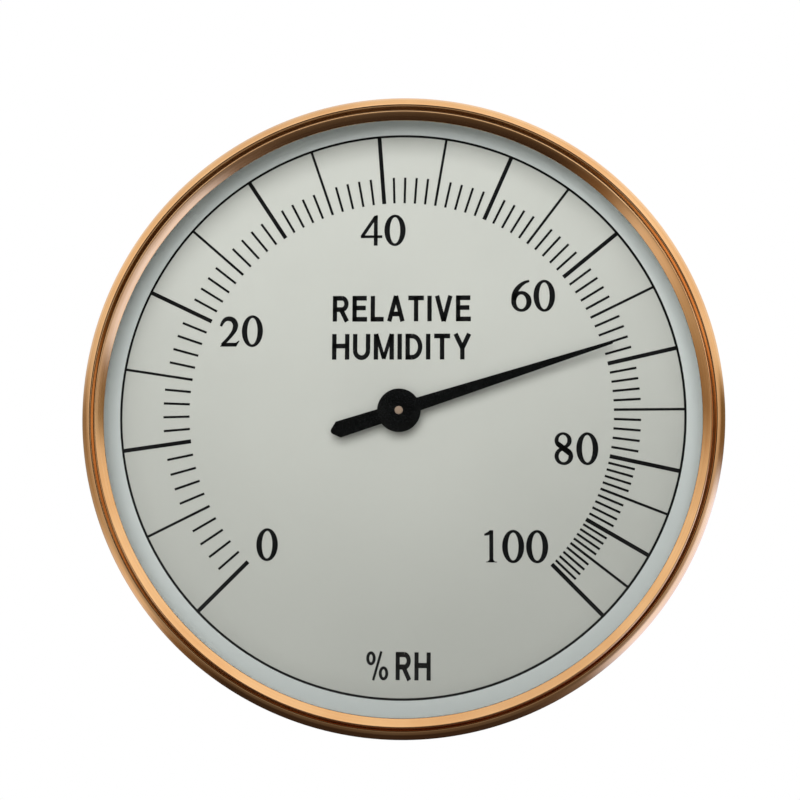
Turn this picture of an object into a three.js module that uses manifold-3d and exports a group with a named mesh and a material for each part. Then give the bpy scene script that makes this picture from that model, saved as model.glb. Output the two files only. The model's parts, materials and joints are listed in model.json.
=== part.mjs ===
// Dial hygrometer: a wall instrument with a hair element, a toothed sector, a pinion and a pointer.
// Millimetres, +Z up. The back of the case lies on the wall plane Y = 0 and the dial faces -Y.
import * as THREE from "three";
import { mergeVertices } from "three/addons/utils/BufferGeometryUtils.js";
import Module from "manifold-3d";

const wasm = await Module();
wasm.setup();

// ---------------------------------------------------------------- driving dimensions
// Every piece is drawn lying on its back: z is the height above the wall, y points up the dial.

const RING_STEPS = 72; // facets of the large rings
const PART_STEPS = 28; // facets of plates' holes and middle-sized turned pieces
const PIN_STEPS = 20; // facets of screws, pins and bushes
const GAP = 0.1; // flat faces that touch
const FIT = 0.28; // round pieces that touch

// Case
const CASE_RADIUS = 46.5;
const SHEET = 0.8; // case sheet thickness
const BEND = 1.5; // radius of the pressed corners
const FLANGE_Z = 19.5; // underside of the case flange
const FLANGE_RADIUS = 48.5;

// Dial
const DIAL_SHEET = 0.8;
const DIAL_BACK_Z = FLANGE_Z + SHEET + GAP;
const DIAL_FACE_Z = DIAL_BACK_Z + DIAL_SHEET;
const DIAL_FLAT_RADIUS = 44.6; // flat as far as the printed circle
const DIAL_RADIUS = 47.7;
const DIAL_RISE = 0.95; // how far the margin leans towards the glass
const DIAL_HOLE = 1.6;

// Glass and the ring that holds it
const GLASS_RADIUS = 47.2;
const GLASS_BACK_Z = DIAL_FACE_Z + 3.3;
const GLASS_THICK = 1.5;
const GASKET_THICK = 0.3;
const LIP_BACK_Z = GLASS_BACK_Z + GLASS_THICK + GASKET_THICK + 2 * GAP;
const LIP_RADIUS = 45.7;
const LIP_EDGE = 0.3; // thickness of the lip where it meets the glass
const RIDGE_RADIUS = 47.3; // the crest between the cone and the groove
const RIDGE_RISE = 1.4; // height of the crest above the back of the lip
const GROOVE_RADIUS = 48.1;
const BEAD_CENTRE = 48.75;
const BEAD_DROP = 1.1; // depth of the outer bead's centre below the back of the lip
const BEZEL_RADIUS = 49.5;
const SKIRT = 0.4; // thickness of the bezel's sheet round the case flange
const SPACER_SHEET = 0.7; // thickness of the ring's inward flange

// Movement
const PLATE = 1.2; // thickness of the two brass plates
const BASE_Z = 6;
const BRIDGE_Z = 15.6;
const PILLAR_RADIUS = 2.6;
const ARBOR_RADIUS = 0.62;
const ARBOR_END = 0.4; // how far a pivot stands out of its bush
const BUSH_RADIUS = 2;
const BUSH_FLANGE = 2.8;
const BUSH_HEAD = 0.6; // thickness of the bush's flange

// Screws
const BRIDGE_HOLE = 1.1; // hole for a bridge screw, in the bridge and in the pillar
const BRIDGE_SCREW_DEPTH = 3; // how far it goes into the pillar
const MOUNT_SHANK = 1.2;
const MOUNT_HOLE = 1.5; // hole for a mounting screw, in the base plate and in the pillar
const MOUNT_HEAD = 2.2;
const MOUNT_SINK = 0.9; // depth of the countersunk head
const SLOT_WIDTH = 0.5;
const SLOT_DEPTH = 0.5;
const WALL_GAP = 0.05; // what heads at the back of the case stay clear of the wall by

// Gears: involute teeth of 20 degrees, long on the pinion and short on the sector
const MODULE = 0.4;
const PINION_TEETH = 10;
const SECTOR_TEETH = 120; // of the whole wheel that the sector is a piece of
const PROFILE_SHIFT = 0.5;
const PRESSURE = THREE.MathUtils.degToRad(20);
const BACKLASH = 0.06; // taken off each tooth at its pitch circle
const PINION_Z = 10.6;
const PINION_HEIGHT = 2.8;
const SECTOR_Z = 11.4;

const READING_ANGLE = 17.8; // the pointer at rest, anticlockwise from the dial's 3 o'clock
const CENTRE = new THREE.Vector2(0, 0);
const SECTOR_AXIS = new THREE.Vector2(24, -10);
const CENTRES_ANGLE = Math.atan2(CENTRE.y - SECTOR_AXIS.y, CENTRE.x - SECTOR_AXIS.x);
const FIRST_TOOTH = -3; // teeth below and above the tooth in mesh at rest
const LAST_TOOTH = 7;

// Hair
const LEVER_ARM = 4;
const HAIR_Z = 10;
const HAIR_RADIUS = 0.3;
const HAIR_Y = SECTOR_AXIS.y - LEVER_ARM;
const LEVER_SHEET = 0.8;
const PEG_RADIUS = 1.5;
const PEG_HEAD = 2.6;
const PEG_BUSH = 2.6; // the bush's shank, through the base plate
const PEG_AXIS = new THREE.Vector2(-32, HAIR_Y + HAIR_RADIUS + GAP + PEG_RADIUS);

// Hairspring
const SPRING_Z = 17.6;
const SPRING_HEIGHT = 0.6;
const SPRING_INNER = 2.5;
const SPRING_OUTER = 7;
const SPRING_TURNS = 3.5;

// Back of the case
const KEYHOLE_Y = 27; // centre of the round hole
const KEYHOLE_RADIUS = 4.25;
const KEYHOLE_SLOT = 4.6; // width of the slot above it
const KEYHOLE_TOP = 37;
const VENT_ANGLES = [22, 45, 135, 160, 235, 258, 302, 325];
const VENT_INNER = 29;
const VENT_OUTER = 40;
const VENT_WIDTH = 2.6;

// The three places where screws hold the base plate, the pillars and the bridge plate
const POSTS = [new THREE.Vector2(-12, 12), new THREE.Vector2(8, -22), new THREE.Vector2(32, 4)];

// ---------------------------------------------------------------- materials

function metal(colour, roughness) {
  return () => new THREE.MeshStandardMaterial({ color: colour, roughness, metalness: 1 });
}

function plain(colour, roughness) {
  return () => new THREE.MeshStandardMaterial({ color: colour, roughness, metalness: 0 });
}

const copper = metal("#c98e5c", 0.28);
const brass = metal("#b8964f", 0.35);
const steel = metal("#8f9194", 0.35);
const blackPaint = plain("#141414", 0.45);
const dialPaint = plain("#c9ccc4", 0.5);
const whitePlastic = plain("#d9dcd8", 0.55);
const rubber = plain("#1c1c1c", 0.85);
const hair = plain("#5a4632", 0.7);

function glass() {
  return new THREE.MeshStandardMaterial({
    color: "#f2f6f5",
    roughness: 0.05,
    metalness: 0,
    transparent: true,
    opacity: 0.25,
  });
}

// ---------------------------------------------------------------- shapes

const instrument = new THREE.Group();

function add(name, geometry, makeMaterial) {
  const mesh = new THREE.Mesh(geometry, makeMaterial());
  mesh.name = name;
  instrument.add(mesh);
}

// A turned piece about the dial's axis, or about the axis at `at`. The profile is a list of
// [radius, z] points, anticlockwise, that closes on itself unless it starts and ends on the axis.
function turned(profile, steps = PIN_STEPS, at = CENTRE) {
  const points = profile.map(([radius, z]) => new THREE.Vector2(radius, z));
  if (profile[0][0] > 0) points.push(points[0].clone());
  const geometry = new THREE.LatheGeometry(points, steps);
  geometry.rotateX(Math.PI / 2);
  return geometry.translate(at.x, at.y, 0);
}

function tube(inner, outer, low, high, steps = PIN_STEPS, at = CENTRE) {
  return turned([[inner, low], [outer, low], [outer, high], [inner, high]], steps, at);
}

function rod(radius, low, high, steps = PIN_STEPS, at = CENTRE) {
  return turned([[0, low], [radius, low], [radius, high], [0, high]], steps, at);
}

function slab(shape, low, high, steps = PART_STEPS) {
  const options = { depth: high - low, bevelEnabled: false, curveSegments: steps / 4 };
  return new THREE.ExtrudeGeometry(shape, options).translate(0, 0, low);
}

function block(width, depth, low, high) {
  return new THREE.BoxGeometry(width, depth, high - low).translate(0, 0, (low + high) / 2);
}

function solid(geometry) {
  const bare = geometry.clone();
  bare.deleteAttribute("normal");
  bare.deleteAttribute("uv");
  const merged = mergeVertices(bare, 1e-4);
  const vertProperties = merged.attributes.position.array;
  const triVerts = new Uint32Array(merged.index.array);
  return new wasm.Manifold(new wasm.Mesh({ numProp: 3, vertProperties, triVerts }));
}

function surface(body) {
  const mesh = body.getMesh();
  const geometry = new THREE.BufferGeometry();
  geometry.setAttribute("position", new THREE.BufferAttribute(mesh.vertProperties, 3));
  geometry.setIndex(new THREE.BufferAttribute(mesh.triVerts, 1));
  return geometry;
}

function cut(geometry, tools) {
  return surface(tools.reduce((body, tool) => body.subtract(solid(tool)), solid(geometry)));
}

function joined(geometry, others) {
  return surface(others.reduce((body, other) => body.add(solid(other)), solid(geometry)));
}

function polar(angle, radius, about = CENTRE) {
  return new THREE.Vector2(radius * Math.cos(angle), radius * Math.sin(angle)).add(about);
}

function arc(radius, from, to, steps) {
  return Array.from({ length: steps + 1 }, (_, i) => polar(from + ((to - from) * i) / steps, radius));
}

// A flat plate whose corners, given anticlockwise, are rounded to one radius.
function roundedPlate(corners, radius) {
  const shape = new THREE.Shape();
  corners.forEach((corner, i) => {
    const before = corners[(i + corners.length - 1) % corners.length];
    const after = corners[(i + 1) % corners.length];
    const entry = corner.clone().add(before.clone().sub(corner).setLength(radius));
    const exit = corner.clone().add(after.clone().sub(corner).setLength(radius));
    if (i === 0) shape.moveTo(entry.x, entry.y);
    else shape.lineTo(entry.x, entry.y);
    shape.quadraticCurveTo(corner.x, corner.y, exit.x, exit.y);
  });
  shape.closePath();
  return shape;
}

function hole(shape, centre, radius) {
  const path = new THREE.Path();
  path.absarc(centre.x, centre.y, radius, 0, 2 * Math.PI, true);
  shape.holes.push(path);
}

// ---------------------------------------------------------------- case

function makeCase() {
  const inner = CASE_RADIUS - SHEET;
  const top = FLANGE_Z + SHEET;
  const chord = BEND * 0.3; // the middle of the corner's arc, from the sharp corner
  const can = turned(
    [
      [0, 0],
      [CASE_RADIUS - BEND, 0],
      [CASE_RADIUS - chord, chord],
      [CASE_RADIUS, BEND],
      [CASE_RADIUS, FLANGE_Z],
      [FLANGE_RADIUS, FLANGE_Z],
      [FLANGE_RADIUS, top],
      [inner, top],
      [inner, BEND],
      [inner - BEND * 0.4, SHEET],
      [0, SHEET],
    ],
    RING_STEPS,
  );
  const through = 2 * SHEET;
  const slotEnd = KEYHOLE_TOP - KEYHOLE_SLOT / 2; // centre of the slot's round end
  const slot = block(KEYHOLE_SLOT, slotEnd - KEYHOLE_Y, -SHEET, through);
  const keyhole = joined(rod(KEYHOLE_RADIUS, -SHEET, through).translate(0, KEYHOLE_Y, 0), [
    rod(KEYHOLE_SLOT / 2, -SHEET, through).translate(0, slotEnd, 0),
    slot.translate(0, (slotEnd + KEYHOLE_Y) / 2, 0),
  ]);
  const length = VENT_OUTER - VENT_INNER;
  const vents = VENT_ANGLES.map((degrees) =>
    block(length, VENT_WIDTH, -SHEET, through)
      .translate(VENT_INNER + length / 2, 0, 0)
      .rotateZ(THREE.MathUtils.degToRad(degrees)),
  );
  const sinkTop = MOUNT_HEAD + FIT;
  const sinkEnd = MOUNT_HOLE + 0.2;
  const sinkSlope = (sinkTop - sinkEnd) / SHEET;
  const sink = [
    [0, -SHEET],
    [sinkTop + sinkSlope * SHEET, -SHEET],
    [sinkEnd, SHEET],
    [sinkEnd, through],
    [0, through],
  ];
  const sinks = POSTS.map((post) => turned(sink, PIN_STEPS, post));
  const peg = rod(PEG_HEAD + FIT, -SHEET, through, PIN_STEPS, PEG_AXIS);
  add("case_cup", cut(can, [keyhole, ...vents, ...sinks, peg]), steel);
}

function makeBezel() {
  const beadZ = LIP_BACK_Z - BEAD_DROP;
  const beadRadius = BEZEL_RADIUS - BEAD_CENTRE;
  const bead = arc(beadRadius, Math.PI * 0.82, 0, 8).map((p) => [BEAD_CENTRE + p.x, beadZ + p.y]);
  const hem = FLANGE_Z - GAP; // the sheet is folded in behind the case flange
  const hemBack = hem - 1.5 * SKIRT;
  const wall = FLANGE_RADIUS + 0.2; // inside of the skirt
  const outside = wall + SKIRT;
  const crest = LIP_BACK_Z + RIDGE_RISE;
  const round = 0.2; // how far edges are rounded
  const profile = [
    [LIP_RADIUS, LIP_BACK_Z],
    [GLASS_RADIUS + FIT, LIP_BACK_Z],
    [GLASS_RADIUS + FIT, LIP_BACK_Z - GLASS_THICK],
    [wall, GLASS_BACK_Z - round],
    [wall, hem],
    [CASE_RADIUS + FIT, hem],
    [CASE_RADIUS + FIT, hemBack],
    [outside - SKIRT, hemBack],
    [outside, hemBack + SKIRT],
    [outside, beadZ - beadRadius],
    [BEZEL_RADIUS, beadZ - SKIRT],
    ...bead.reverse(),
    [GROOVE_RADIUS, beadZ + GAP],
    [RIDGE_RADIUS + round, crest - round],
    [RIDGE_RADIUS, crest],
    [RIDGE_RADIUS - round, crest - round / 4],
    [LIP_RADIUS + round, LIP_BACK_Z + LIP_EDGE + round],
    [LIP_RADIUS, LIP_BACK_Z + LIP_EDGE],
  ];
  add("bezel_ring", turned(profile, RING_STEPS), copper);
}

function makeGlazing() {
  const front = GLASS_BACK_Z + GLASS_THICK;
  add("glass_lens", rod(GLASS_RADIUS, GLASS_BACK_Z, front, RING_STEPS), glass);
  const low = front + GAP;
  const gasket = tube(LIP_RADIUS + FIT, GLASS_RADIUS - FIT, low, low + GASKET_THICK, RING_STEPS);
  add("lens_gasket", gasket, rubber);
  const seat = FLANGE_Z + SHEET + GAP;
  const top = GLASS_BACK_Z - GAP;
  const profile = [
    [DIAL_RADIUS + FIT, seat],
    [FLANGE_RADIUS, seat],
    [FLANGE_RADIUS, top],
    [LIP_RADIUS + 1, top],
    [LIP_RADIUS + 1, top - SPACER_SHEET],
    [DIAL_RADIUS + FIT, top - SPACER_SHEET],
  ];
  add("spacer_ring", turned(profile, RING_STEPS), whitePlastic);
}

function makeDial() {
  const profile = [
    [DIAL_HOLE, DIAL_BACK_Z],
    [DIAL_FLAT_RADIUS, DIAL_BACK_Z],
    [DIAL_RADIUS, DIAL_BACK_Z + DIAL_RISE],
    [DIAL_RADIUS, DIAL_FACE_Z + DIAL_RISE],
    [DIAL_FLAT_RADIUS, DIAL_FACE_Z],
    [DIAL_HOLE, DIAL_FACE_Z],
  ];
  add("dial_plate", turned(profile, RING_STEPS), dialPaint);
}

// ---------------------------------------------------------------- frame of the movement

function makePlates() {
  const corners = [
    [-38, -20],
    [4, -28],
    [14, -28],
    [38, -4],
    [38, 8],
    [30, 11],
    [-8, 18],
    [-17, 18],
    [-38, -6],
  ].map(([x, y]) => new THREE.Vector2(x, y));
  const base = roundedPlate(corners, 3.5);
  POSTS.forEach((post) => hole(base, post, MOUNT_HOLE));
  hole(base, CENTRE, BUSH_RADIUS + FIT);
  hole(base, SECTOR_AXIS, BUSH_RADIUS + FIT);
  hole(base, PEG_AXIS, PEG_BUSH + FIT);
  add("base_plate", slab(base, BASE_Z, BASE_Z + PLATE), brass);

  const bridgeCorners = [
    [4, -25.5],
    [13, -25.5],
    [31, -13],
    [37, 1],
    [34, 8.5],
    [-11, 16.5],
    [-16.5, 12],
    [-15, 7],
  ].map(([x, y]) => new THREE.Vector2(x, y));
  const bridge = roundedPlate(bridgeCorners, 2.5);
  POSTS.forEach((post) => hole(bridge, post, BRIDGE_HOLE));
  hole(bridge, CENTRE, BUSH_RADIUS + FIT);
  hole(bridge, SECTOR_AXIS, BUSH_RADIUS + FIT);
  add("bridge_plate", slab(bridge, BRIDGE_Z, BRIDGE_Z + PLATE), brass);
}

function makePillar(number, post, low, high) {
  const threadEnd = low + BRIDGE_SCREW_DEPTH + 0.5;
  const profile = [
    [MOUNT_HOLE, low],
    [PILLAR_RADIUS, low],
    [PILLAR_RADIUS, high],
    [BRIDGE_HOLE, high],
    [BRIDGE_HOLE, threadEnd + 0.1],
    [MOUNT_HOLE, threadEnd - 0.1],
  ];
  add(`pillar_${number}`, turned(profile, PIN_STEPS, post), brass);
}

function makeBridgeScrew(number, post, end) {
  const shank = BRIDGE_HOLE - FIT;
  const seat = BRIDGE_Z + PLATE + GAP;
  const head = 2.1;
  const top = seat + 1;
  const edge = 0.3; // chamfer of the head
  const screw = turned(
    [
      [0, end],
      [shank, end],
      [shank, seat],
      [head, seat],
      [head, top - edge],
      [head - edge, top],
      [0, top],
    ],
    PIN_STEPS,
    post,
  );
  const turnedBy = 0.6 + number; // every screw stops at an angle of its own
  const slot = block(2.4 * head, SLOT_WIDTH, top - SLOT_DEPTH, top + 1).rotateZ(turnedBy);
  add(`bridge_screw_${number}`, cut(screw, [slot.translate(post.x, post.y, 0)]), steel);
}

function makeMountScrew(number, post, end) {
  const screw = turned(
    [
      [0, WALL_GAP],
      [MOUNT_HEAD, WALL_GAP],
      [MOUNT_SHANK, MOUNT_SINK],
      [MOUNT_SHANK, end],
      [0, end],
    ],
    PIN_STEPS,
    post,
  );
  const slot = block(2.4 * MOUNT_HEAD, SLOT_WIDTH, -1, WALL_GAP + SLOT_DEPTH).rotateZ(1.1 * number);
  add(`mount_screw_${number}`, cut(screw, [slot.translate(post.x, post.y, 0)]), steel);
}

function makePosts() {
  const low = BASE_Z + PLATE + GAP;
  const high = BRIDGE_Z - GAP;
  POSTS.forEach((post, i) => {
    const number = i + 1;
    makePillar(number, post, low, high);
    makeBridgeScrew(number, post, high - BRIDGE_SCREW_DEPTH);
    const spacer = tube(MOUNT_HOLE + 0.2, PILLAR_RADIUS + 0.3, SHEET + GAP, BASE_Z - GAP, PIN_STEPS, post);
    add(`mount_spacer_${number}`, spacer, brass);
    makeMountScrew(number, post, low + 3);
  });
}

// A flanged bush pressed into a plate: `outward` is 1 where its flange is in front, -1 behind.
function makeBush(name, plateZ, outward, at) {
  const bore = ARBOR_RADIUS + FIT;
  const seat = plateZ + (outward > 0 ? PLATE + GAP : -GAP);
  const end = plateZ + (outward > 0 ? 0 : PLATE);
  const flange = seat + outward * BUSH_HEAD;
  const [low, high] = outward > 0 ? [end, flange] : [flange, end];
  const [lowRadius, highRadius] = outward > 0 ? [BUSH_RADIUS, BUSH_FLANGE] : [BUSH_FLANGE, BUSH_RADIUS];
  const profile = [
    [bore, low],
    [lowRadius, low],
    [lowRadius, seat],
    [highRadius, seat],
    [highRadius, high],
    [bore, high],
  ];
  add(name, turned(profile, PIN_STEPS, at), brass);
}

function makeBushes() {
  makeBush("pointer_rear_bush", BASE_Z, -1, CENTRE);
  makeBush("pointer_front_bush", BRIDGE_Z, 1, CENTRE);
  makeBush("sector_rear_bush", BASE_Z, -1, SECTOR_AXIS);
  makeBush("sector_front_bush", BRIDGE_Z, 1, SECTOR_AXIS);
}

// ---------------------------------------------------------------- gears

function involute(angle) {
  return Math.tan(angle) - angle;
}

// The half angle that a tooth takes at one radius.
function halfAngle(teeth, shift, radius) {
  const pitch = (MODULE * teeth) / 2;
  const thickness = MODULE * (Math.PI / 2 + 2 * shift * Math.tan(PRESSURE)) - BACKLASH;
  const pressure = Math.acos(Math.min(1, (pitch * Math.cos(PRESSURE)) / radius));
  return thickness / (2 * pitch) + involute(PRESSURE) - involute(pressure);
}

// One tooth's outline about `middle`, from the root on its clockwise side to the root on the other.
function tooth(teeth, shift, root, tip, middle, steps) {
  const start = Math.max(root, ((MODULE * teeth) / 2) * Math.cos(PRESSURE));
  const radii = Array.from({ length: steps + 1 }, (_, i) => start + ((tip - start) * i) / steps);
  const rising = radii.map((radius) => polar(middle - halfAngle(teeth, shift, radius), radius));
  const falling = radii.map((radius) => polar(middle + halfAngle(teeth, shift, radius), radius));
  if (start > root) {
    rising.unshift(polar(middle - halfAngle(teeth, shift, start), root));
    falling.unshift(polar(middle + halfAngle(teeth, shift, start), root));
  }
  return [...rising, ...falling.reverse()];
}

function makePinion() {
  const root = 1.7;
  const tip = 2.5;
  const pitchAngle = (2 * Math.PI) / PINION_TEETH;
  const gap = CENTRES_ANGLE + Math.PI; // a gap faces the sector at rest
  const outline = [];
  for (let i = 0; i < PINION_TEETH; i += 1) {
    outline.push(...tooth(PINION_TEETH, PROFILE_SHIFT, root, tip, gap + (i + 0.5) * pitchAngle, 4));
  }
  const shape = new THREE.Shape(outline);
  hole(shape, CENTRE, ARBOR_RADIUS + FIT);
  add("pinion", slab(shape, PINION_Z, PINION_Z + PINION_HEIGHT, PIN_STEPS), brass);
}

function makeSector() {
  const root = 23.3;
  const tip = 24.2;
  const rim = 21.6;
  const hub = 3.6;
  const pitchAngle = (2 * Math.PI) / SECTOR_TEETH;
  const outline = [];
  for (let i = FIRST_TOOTH; i <= LAST_TOOTH; i += 1) {
    outline.push(...tooth(SECTOR_TEETH, -PROFILE_SHIFT, root, tip, CENTRES_ANGLE + i * pitchAngle, 2));
  }
  const low = CENTRES_ANGLE + (FIRST_TOOTH - 0.6) * pitchAngle;
  const high = CENTRES_ANGLE + (LAST_TOOTH + 0.6) * pitchAngle;
  outline.unshift(polar(low, root));
  outline.push(polar(high, root));
  outline.push(polar(high, rim));
  const taper = 0.7; // angle by which the hub's round side runs past the arms
  outline.push(...arc(hub, high + taper, low - taper + 2 * Math.PI, 14));
  outline.push(polar(low, rim));
  const shape = new THREE.Shape(outline);
  hole(shape, CENTRE, ARBOR_RADIUS + FIT);
  const spoke = 0.1; // angle that each arm takes
  const middle = (low + high) / 2;
  const windows = [
    [low + spoke, middle - spoke / 2],
    [middle + spoke / 2, high - spoke],
  ];
  windows.forEach(([from, to]) => {
    const outer = arc(rim - 0.6, from, to, 6);
    shape.holes.push(new THREE.Path([...outer, ...arc(rim - 12.6, to, from, 2)]));
  });
  const plate = slab(shape, SECTOR_Z, SECTOR_Z + PLATE, PIN_STEPS);
  add("sector_gear", plate.translate(SECTOR_AXIS.x, SECTOR_AXIS.y, 0), brass);
  const front = BRIDGE_Z + PLATE + ARBOR_END;
  add("sector_arbor", rod(ARBOR_RADIUS, BASE_Z - ARBOR_END, front, PIN_STEPS, SECTOR_AXIS), steel);
}

// ---------------------------------------------------------------- hair and its lever

function makeHair() {
  const leverHigh = HAIR_Z - HAIR_RADIUS - 0.4;
  const lever = new THREE.Shape();
  const end = LEVER_ARM + 0.2;
  const boss = 2.1; // radius of the lever round the arbor
  const tip = 1.1;
  lever.moveTo(tip, -end);
  lever.lineTo(boss, 0);
  lever.absarc(0, 0, boss, 0, Math.PI, false);
  lever.lineTo(-tip, -end);
  lever.absarc(0, -end, tip, Math.PI, 2 * Math.PI, false);
  hole(lever, CENTRE, ARBOR_RADIUS + FIT);
  const arm = slab(lever, leverHigh - LEVER_SHEET, leverHigh, PIN_STEPS);
  add("hair_lever", arm.translate(SECTOR_AXIS.x, SECTOR_AXIS.y, 0), brass);
  const clampRadius = 0.9;
  const clampAxis = new THREE.Vector2(SECTOR_AXIS.x, HAIR_Y);
  const clampTop = HAIR_Z + LEVER_SHEET;
  add("hair_clamp", rod(clampRadius, leverHigh + GAP, clampTop, PIN_STEPS, clampAxis), steel);
  const from = PEG_AXIS.x;
  const to = SECTOR_AXIS.x - clampRadius - FIT;
  const bundle = new THREE.CylinderGeometry(HAIR_RADIUS, HAIR_RADIUS, to - from, 8);
  bundle.rotateZ(Math.PI / 2).translate((from + to) / 2, HAIR_Y, HAIR_Z);
  add("hair_bundle", bundle, hair);
}

function makeRegulator() {
  const neck = 2.3; // where the head narrows to the peg
  const top = HAIR_Z + 1.6;
  const profile = [
    [0, WALL_GAP],
    [PEG_HEAD, WALL_GAP],
    [PEG_HEAD, neck - 0.1],
    [PEG_RADIUS, neck + 0.1],
    [PEG_RADIUS, top],
    [0, top],
  ];
  const slot = block(3 * PEG_HEAD, 0.7, -1, 0.75).rotateZ(0.35);
  const peg = turned(profile, PART_STEPS, PEG_AXIS);
  add("regulator_peg", cut(peg, [slot.translate(PEG_AXIS.x, PEG_AXIS.y, 0)]), brass);
  const seat = BASE_Z - GAP;
  const flange = PEG_BUSH + 1;
  const bore = PEG_RADIUS + FIT;
  const bush = [
    [bore, seat - 0.8],
    [flange, seat - 0.8],
    [flange, seat],
    [PEG_BUSH, seat],
    [PEG_BUSH, BASE_Z + PLATE],
    [bore, BASE_Z + PLATE],
  ];
  add("regulator_bush", turned(bush, PART_STEPS, PEG_AXIS), steel);
}

// ---------------------------------------------------------------- pointer and hairspring

function makePointer() {
  const bladeZ = DIAL_FACE_Z + 1.9;
  const sheet = 0.35;
  const hubRadius = 3.4;
  const hubHeight = 0.6;
  const arborTop = bladeZ + hubHeight + 0.15;
  add("pointer_arbor", rod(ARBOR_RADIUS, BASE_Z - ARBOR_END, arborTop, PIN_STEPS), steel);
  const outline = [
    [0, -1.15],
    [34.7, -0.28],
    [34.9, 0],
    [34.7, 0.28],
    [0, 1.15],
    [-9.8, 1.3],
    [-10.9, 0.35],
    [-11.2, 0],
    [-10.9, -0.35],
    [-9.8, -1.3],
  ].map(([x, y]) => new THREE.Vector2(x, y));
  const blade = slab(new THREE.Shape(outline), bladeZ, bladeZ + sheet);
  const disc = rod(hubRadius, bladeZ, bladeZ + hubHeight, PART_STEPS + 8);
  const bore = rod(ARBOR_RADIUS + FIT, bladeZ - 1, bladeZ + 2, PIN_STEPS);
  const needle = cut(joined(blade, [disc]), [bore]);
  add("pointer", needle.rotateZ(THREE.MathUtils.degToRad(READING_ANGLE)), blackPaint);
  const bushLow = DIAL_FACE_Z + 0.5;
  add("pointer_hub", tube(ARBOR_RADIUS + FIT, DIAL_HOLE, bushLow, bladeZ - GAP, PIN_STEPS), brass);
}

function makeHairspring() {
  const turns = 2 * Math.PI * SPRING_TURNS;
  const steps = Math.round(SPRING_TURNS * 22);
  const half = 0.09; // half the thickness of the strip
  const side = (offset) =>
    Array.from({ length: steps + 1 }, (_, i) => {
      const share = i / steps;
      const radius = SPRING_INNER + (SPRING_OUTER - SPRING_INNER) * share + offset;
      return polar(-turns * share, radius);
    });
  const shape = new THREE.Shape([...side(half), ...side(-half).reverse()]);
  add("hairspring", slab(shape, SPRING_Z, SPRING_Z + SPRING_HEIGHT), steel);
  const collet = tube(ARBOR_RADIUS + FIT, SPRING_INNER - half - GAP, SPRING_Z, SPRING_Z + 0.9, PIN_STEPS);
  add("hairspring_collet", collet, brass);
  const studAngle = -turns;
  const studRadius = 0.7;
  const stud = polar(studAngle, SPRING_OUTER + half + GAP + studRadius);
  const studLow = BRIDGE_Z + PLATE + GAP;
  add("hairspring_stud", rod(studRadius, studLow, SPRING_Z + 1, PIN_STEPS, stud), brass);
}

makeCase();
makeBezel();
makeGlazing();
makeDial();
makePlates();
makePosts();
makeBushes();
makePinion();
makeSector();
makeHair();
makeRegulator();
makePointer();
makeHairspring();

// Stand the instrument up: the wall is behind it and the dial looks along -Y.
instrument.rotation.x = Math.PI / 2;

export default instrument;
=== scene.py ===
"""Dial hygrometer: the visible surfaces and finishes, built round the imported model.

Shapes are worked out on the instrument's own drawing, in millimetres: x to the right, y up the
dial and h out of the wall. `to_row` turns drawing points into the row frame, in metres.
"""

import json
import logging
import math
from dataclasses import dataclass, field
from enum import Enum
from typing import Sequence

import bmesh
import bpy
import numpy as np
from mathutils import Matrix, Vector
from numpy.typing import NDArray


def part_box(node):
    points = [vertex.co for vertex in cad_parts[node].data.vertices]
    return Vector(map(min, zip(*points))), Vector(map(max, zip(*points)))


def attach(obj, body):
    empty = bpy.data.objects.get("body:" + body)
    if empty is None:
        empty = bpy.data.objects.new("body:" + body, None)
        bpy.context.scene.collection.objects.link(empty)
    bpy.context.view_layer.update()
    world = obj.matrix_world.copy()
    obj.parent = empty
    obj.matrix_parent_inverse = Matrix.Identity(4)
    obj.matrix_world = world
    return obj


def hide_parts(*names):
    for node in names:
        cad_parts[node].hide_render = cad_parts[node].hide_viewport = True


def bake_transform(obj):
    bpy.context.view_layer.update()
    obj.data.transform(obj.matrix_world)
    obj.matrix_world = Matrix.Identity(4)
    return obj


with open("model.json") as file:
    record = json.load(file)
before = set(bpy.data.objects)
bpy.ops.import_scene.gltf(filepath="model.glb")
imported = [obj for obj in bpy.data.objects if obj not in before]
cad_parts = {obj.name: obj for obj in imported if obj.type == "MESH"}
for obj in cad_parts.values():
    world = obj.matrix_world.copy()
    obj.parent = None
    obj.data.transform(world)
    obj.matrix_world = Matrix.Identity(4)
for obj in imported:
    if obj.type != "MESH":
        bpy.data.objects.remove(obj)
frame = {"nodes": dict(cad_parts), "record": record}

Array = NDArray[np.float64]
Indices = NDArray[np.int64]
Band = tuple[Array, Array, bool]  # two edges, and whether they close
Pair = tuple[float, float]
Colour = tuple[float, float, float]
Socket = bpy.types.NodeSocket
Material = bpy.types.Material
Thing = bpy.types.Object

MM = 0.001
MERGE = 1e-7  # points closer than this, in metres, become one
LOG = logging.getLogger("hygrometer")


class Body(str, Enum):
    """The rigid bodies that pieces ride on."""

    CASE = "case"
    POINTER = "pointer"
    SECTOR = "sector"
    REGULATOR = "regulator"


# ---------------------------------------------------------------- drawing and meshes


def to_row(points: Array) -> Array:
    """Turn drawing points into the row frame: (x, y, h) in mm becomes (x, -h, y) in metres."""
    return np.column_stack((points[:, 0], -points[:, 2], points[:, 1])) * MM


def extent(node: str) -> tuple[Array, Array]:
    """Give the lowest and the highest drawing corner of a CAD node, each (x, y, h) in mm."""
    low, high = (np.array(corner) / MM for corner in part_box(node))
    return np.array([low[0], low[2], -high[1]]), np.array([high[0], high[2], -low[1]])


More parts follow.
